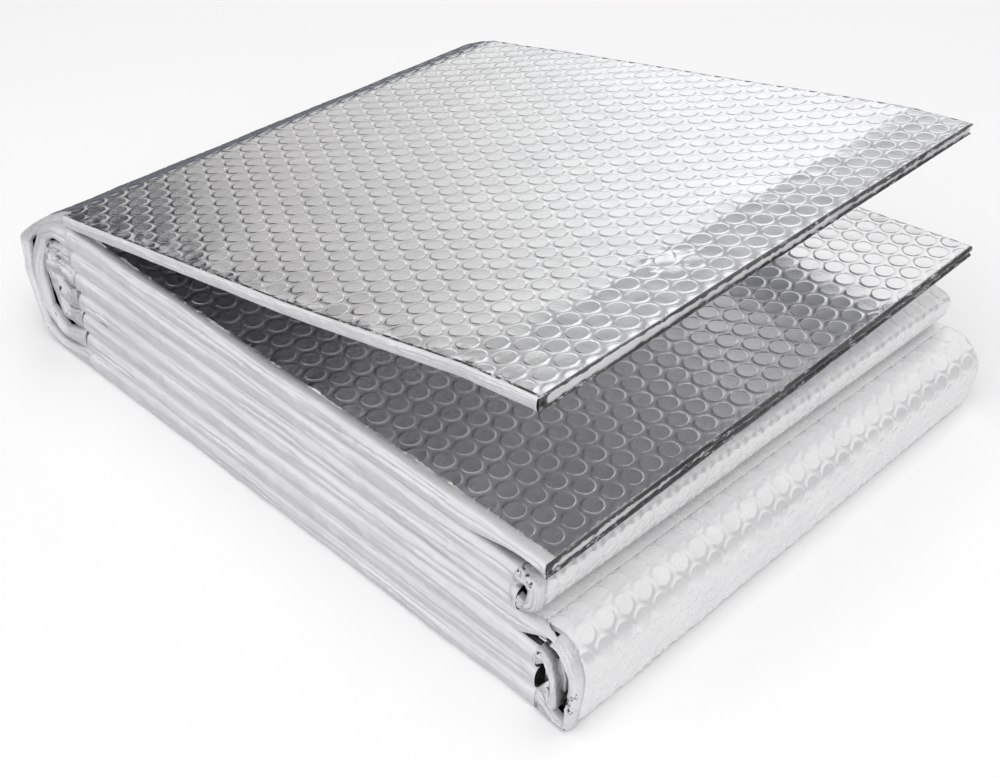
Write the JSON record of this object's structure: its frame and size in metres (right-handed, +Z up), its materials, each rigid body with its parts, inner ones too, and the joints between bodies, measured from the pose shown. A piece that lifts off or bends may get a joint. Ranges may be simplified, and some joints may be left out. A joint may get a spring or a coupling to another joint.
{
  "type": "folded reflective bubble-foil sleeping pad",
  "caption": "Insulating sleeping pad of aluminised bubble foil, creased lengthwise and folded into a flat pack whose loose upper leaves lift at the nested fold.",
  "frame": {"origin": "centre of the folded pad's resting face, on the floor", "axes": "+X from the nested left bends to the free ends, +Y from the lengthwise crease side to the open side, +Z up"},
  "size_m": [0.405, 0.305, 0.1716],
  "materials": {
    "bright_foil": "bright crinkled aluminised film over round air bubbles",
    "bubble_core": "clear polyethylene bubble film, milky at its edges",
    "white_crease": "satin aluminised film, flattened and pale where the sheet is folded lengthwise",
    "cut_edge": "dark ragged cut edge of the aluminised film"
  },
  "bodies": {
    "lower_stack": {"panel_1_lower_foil": "bright_foil", "panel_1_lower_core": "bubble_core", "panel_1_upper_core": "bubble_core", "panel_1_upper_foil": "bright_foil", "panel_1_side_crease": "white_crease", "panel_2_lower_foil": "bright_foil", "panel_2_lower_core": "bubble_core", "panel_2_upper_core": "bubble_core", "panel_2_upper_foil": "bright_foil", "panel_2_side_crease": "white_crease", "panel_3_lower_foil": "bright_foil", "panel_3_lower_core": "bubble_core", "panel_3_upper_core": "bubble_core", "panel_3_upper_foil": "bright_foil", "panel_3_side_crease": "white_crease", "panel_4_lower_foil": "bright_foil", "panel_4_lower_core": "bubble_core", "panel_4_upper_core": "bubble_core", "panel_4_upper_foil": "bright_foil", "panel_4_side_crease": "white_crease", "right_bend_2_3": "bright_foil", "right_bend_1_4": "bright_foil", "left_bend_4_5": "bright_foil", "left_bend_3_6": "bright_foil", "left_bend_2_7": "bright_foil", "left_bend_1_8": "bright_foil"},
    "inner_leaf": {"panel_5_lower_foil": "bright_foil", "panel_5_lower_core": "bubble_core", "panel_5_upper_core": "bubble_core", "panel_5_upper_foil": "bright_foil", "panel_5_side_crease": "white_crease", "panel_6_lower_foil": "bright_foil", "panel_6_lower_core": "bubble_core", "panel_6_upper_core": "bubble_core", "panel_6_upper_foil": "bright_foil", "panel_6_side_crease": "white_crease", "right_bend_5_6": "bright_foil"},
    "middle_leaf": {"panel_7_lower_foil": "bright_foil", "panel_7_lower_core": "bubble_core", "panel_7_upper_core": "bubble_core", "panel_7_upper_foil": "bright_foil", "panel_7_side_crease": "white_crease", "panel_7_lower_hem": "cut_edge", "panel_7_upper_hem": "cut_edge"},
    "top_leaf": {"panel_8_lower_foil": "bright_foil", "panel_8_lower_core": "bubble_core", "panel_8_upper_core": "bubble_core", "panel_8_upper_foil": "bright_foil", "panel_8_side_crease": "white_crease", "panel_8_lower_hem": "cut_edge", "panel_8_upper_hem": "cut_edge"}
  },
  "joints": [
    {"name": "inner_leaf_fold", "type": "hinge", "parent": "lower_stack", "child": "inner_leaf", "pos_m": [-0.15055, 0, 0.04675], "axis": [0, -0.9994, 0.034], "range_deg": [0, 45], "deforming": ["left_bend_4_5", "left_bend_3_6"]},
    {"name": "middle_leaf_fold", "type": "hinge", "parent": "inner_leaf", "child": "middle_leaf", "pos_m": [-0.15055, 0, 0.04675], "axis": [0, -0.9994, 0.034], "range_deg": [0, 45], "deforming": ["left_bend_2_7"]},
    {"name": "top_leaf_fold", "type": "hinge", "parent": "middle_leaf", "child": "top_leaf", "pos_m": [-0.15055, 0, 0.04675], "axis": [0, -0.9994, 0.034], "range_deg": [-9.5, 50], "deforming": ["left_bend_1_8"]}
  ]
}
